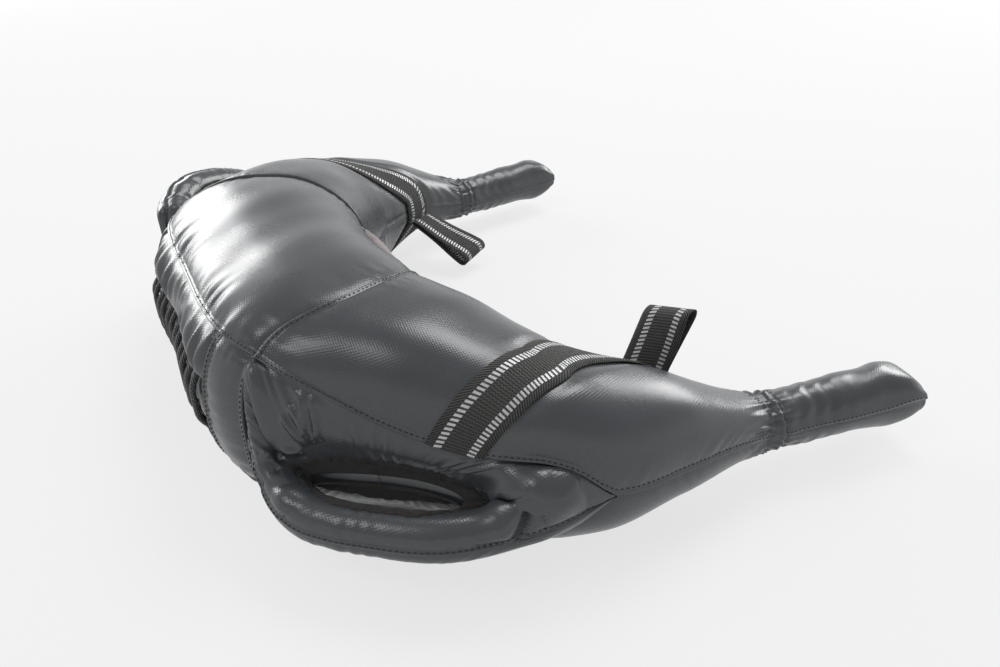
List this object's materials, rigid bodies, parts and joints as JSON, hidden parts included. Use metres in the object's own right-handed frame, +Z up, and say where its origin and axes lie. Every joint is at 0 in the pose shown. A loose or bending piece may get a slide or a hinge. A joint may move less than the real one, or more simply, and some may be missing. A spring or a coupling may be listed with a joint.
{
  "type": "sandbag trainer",
  "caption": "Crescent-shaped soft sandbag trainer with padded neck curve, laced back, side handles with hand slots, webbing straps with loops, and tube grips at the horn tips.",
  "frame": {"origin": "middle of the footprint's bounding box, at the floor", "axes": "+Z up, +Y towards the laced back, -Y towards the grips at the horn tips, +X towards the right horn; the bag lies on its flat underside"},
  "size_m": [0.6292, 0.5389, 0.1702],
  "materials": {
    "leather": "semi-gloss synthetic leather with a fine woven emboss",
    "neck_leather": "soft smooth matt synthetic leather",
    "webbing": "coarse black webbing with two dashed reflective stripes",
    "binding_tape": "matt dark tape with a frayed edge",
    "lace_braid": "black braided cord",
    "wadding": "soft fibre wadding",
    "sand_pouch": "woven sand pouch",
    "foam_core": "closed-cell foam"
  },
  "bodies": {
    "bag": {"back_end_panel_left": "leather", "back_end_panel_right": "leather", "back_lower_flap": "leather", "back_upper_flap": "leather", "body_strap_left": "webbing", "body_strap_right": "webbing", "centre_bottom_panel": "leather", "centre_top_panel": "leather", "horn_bottom_panel_left": "leather", "horn_bottom_panel_right": "leather", "horn_tip_wadding_left": "wadding", "horn_tip_wadding_right": "wadding", "horn_top_panel_left": "leather", "horn_top_panel_right": "leather", "lace": "lace_braid", "lace_tongue": "leather", "neck_pad": "neck_leather", "sand_pouch_centre": "sand_pouch", "sand_pouch_left": "sand_pouch", "sand_pouch_right": "sand_pouch", "side_handle_bottom_panel_left": "leather", "side_handle_bottom_panel_right": "leather", "side_handle_core_left": "foam_core", "side_handle_core_right": "foam_core", "side_handle_top_panel_left": "leather", "side_handle_top_panel_right": "leather", "slot_binding_bottom_left": "binding_tape", "slot_binding_bottom_right": "binding_tape", "slot_binding_top_left": "binding_tape", "slot_binding_top_right": "binding_tape", "slot_wall_left": "leather", "slot_wall_right": "leather", "wadding_bottom": "wadding", "wadding_top": "wadding"},
    "strap_loop_left": {"strap_loop_left": "webbing"},
    "grip_left": {"grip_core_left": "foam_core", "grip_end_patch_left": "leather", "grip_sleeve_left": "leather"},
    "strap_loop_right": {"strap_loop_right": "webbing"},
    "grip_right": {"grip_core_right": "foam_core", "grip_end_patch_right": "leather", "grip_sleeve_right": "leather"}
  },
  "joints": [
    {"name": "strap_loop_left_swing", "type": "hinge", "parent": "bag", "child": "strap_loop_left", "pos_m": [-0.20769, -0.04111, 0.05295], "axis": [0.5544, 0.8304, 0.0556], "range_deg": [-4, 90]},
    {"name": "strap_loop_right_swing", "type": "hinge", "parent": "bag", "child": "strap_loop_right", "pos_m": [0.21129, -0.0465, 0.05259], "axis": [0.5544, -0.8304, -0.0556], "range_deg": [-87, 5]},
    {"name": "grip_left_bend", "type": "hinge", "parent": "bag", "child": "grip_left", "pos_m": [-0.27, -0.1231, 0.04403], "axis": [-0.9879, 0.155, 0], "range_deg": [-6, 30], "stiffness_Nm_per_rad": 4},
    {"name": "grip_right_bend", "type": "hinge", "parent": "bag", "child": "grip_right", "pos_m": [0.27, -0.1231, 0.04403], "axis": [-0.9879, -0.155, 0], "range_deg": [-6, 30], "stiffness_Nm_per_rad": 4}
  ]
}
